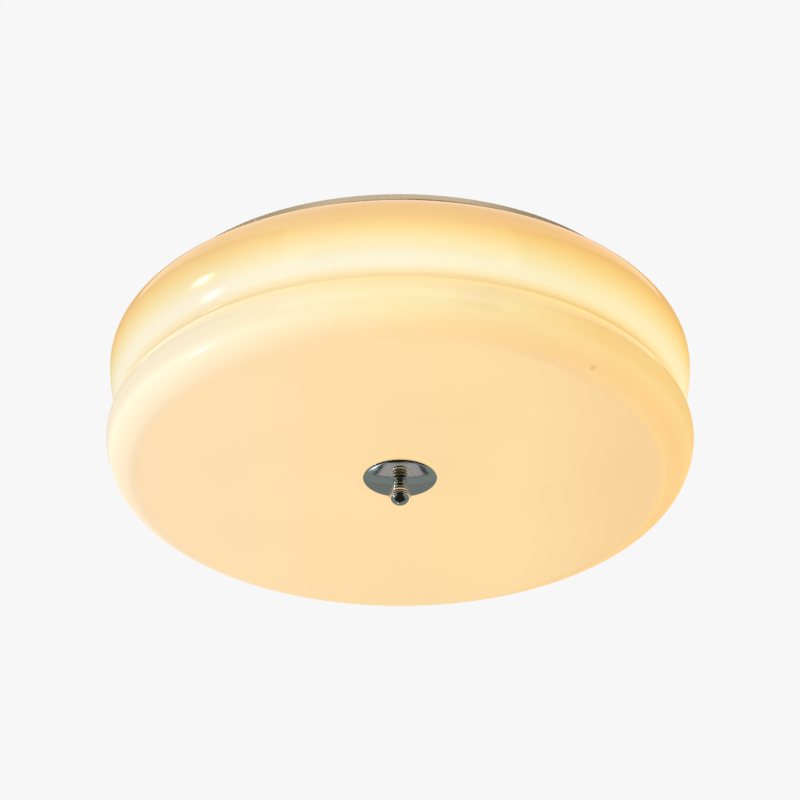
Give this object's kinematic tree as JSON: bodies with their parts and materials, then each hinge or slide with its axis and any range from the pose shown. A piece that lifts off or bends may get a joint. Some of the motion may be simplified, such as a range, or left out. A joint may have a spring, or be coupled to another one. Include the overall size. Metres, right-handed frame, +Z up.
{
  "type": "flush mount ceiling light",
  "caption": "Round flush mount ceiling light: a two-lobed opal glass shade hung under a ceiling tray by a central rod, a domed chrome cap and a ball finial.",
  "frame": {"origin": "centre of the ceiling bracket's upper face, which lies against the ceiling", "axes": "+Z up into the ceiling along the light's axis of revolution, +X along the ceiling bracket"},
  "size_m": [0.4, 0.4, 0.1429],
  "materials": {
    "opal_glass": "glossy opal, lit from inside",
    "silicone": "matt translucent silicone",
    "seal": "matt closed-cell foam",
    "chrome": "mirror plated",
    "tray_paint": "satin powder coat",
    "zinc_steel": "zinc plated",
    "nickel_brass": "bright",
    "board_white": "white solder mask over aluminium",
    "chip_yellow": "phosphor gel",
    "driver_plastic": "fine grain",
    "circuit_green": "solder mask",
    "component_black": "sleeved and taped",
    "terminal_nylon": "natural nylon",
    "live_sleeve": "soft brown sleeving",
    "neutral_sleeve": "soft blue sleeving",
    "tinned_copper": "tinned",
    "earth_sleeve": "soft sleeving, green and yellow",
    "grommet_rubber": "matt",
    "lamp_lead_sleeve": "soft white sleeving",
    "plug_nylon": "natural nylon"
  },
  "bodies": {
    "fixture": {"ceiling_tray": "tray_paint", "ceiling_bracket": "zinc_steel", "hanging_bolts": "zinc_steel", "bolt_locknuts": "zinc_steel", "tray_washers": "zinc_steel", "thumb_nuts": "nickel_brass", "central_rod": "zinc_steel", "rod_upper_washer": "zinc_steel", "rod_upper_nut": "zinc_steel", "rod_lower_washer": "zinc_steel", "rod_lower_nut": "zinc_steel", "shade_stop_washer": "zinc_steel", "shade_stop_nut": "zinc_steel", "shade_gasket": "seal", "light_board": "board_white", "light_chips": "chip_yellow", "board_screws": "zinc_steel", "driver_plate": "driver_plastic", "driver_cover": "driver_plastic", "driver_circuit": "circuit_green", "driver_components": "component_black", "driver_screws": "zinc_steel", "clamp_screws": "nickel_brass", "terminal_block": "terminal_nylon", "terminal_screw": "zinc_steel", "live_lead": "live_sleeve", "neutral_lead": "neutral_sleeve", "earth_lug": "tinned_copper", "earth_lead": "earth_sleeve", "earth_screw": "nickel_brass", "lead_grommet": "grommet_rubber", "lamp_lead": "lamp_lead_sleeve", "board_plug": "plug_nylon"},
    "shade": {"glass_shade": "opal_glass", "shade_bush": "silicone"},
    "cap": {"domed_cap": "chrome", "cap_cushion": "silicone"},
    "finial": {"finial": "chrome"}
  },
  "joints": [
    {"name": "shade_lowering", "type": "slide", "parent": "fixture", "child": "shade", "axis": [0, 0, -1], "range_m": [0, 0.15]},
    {"name": "cap_travel", "type": "slide", "parent": "shade", "child": "cap", "axis": [0, 0, -1], "range_m": [0, 0.012]},
    {"name": "finial_turn", "type": "hinge", "parent": "cap", "child": "finial", "pos_m": [0, 0, -0.13], "axis": [0, 0, -1], "range_deg": [0, 4500]}
  ],
  "couplings": [
    {"joint": "finial_turn", "follows": "cap_travel", "rad_per_m": 6283.2}
  ]
}
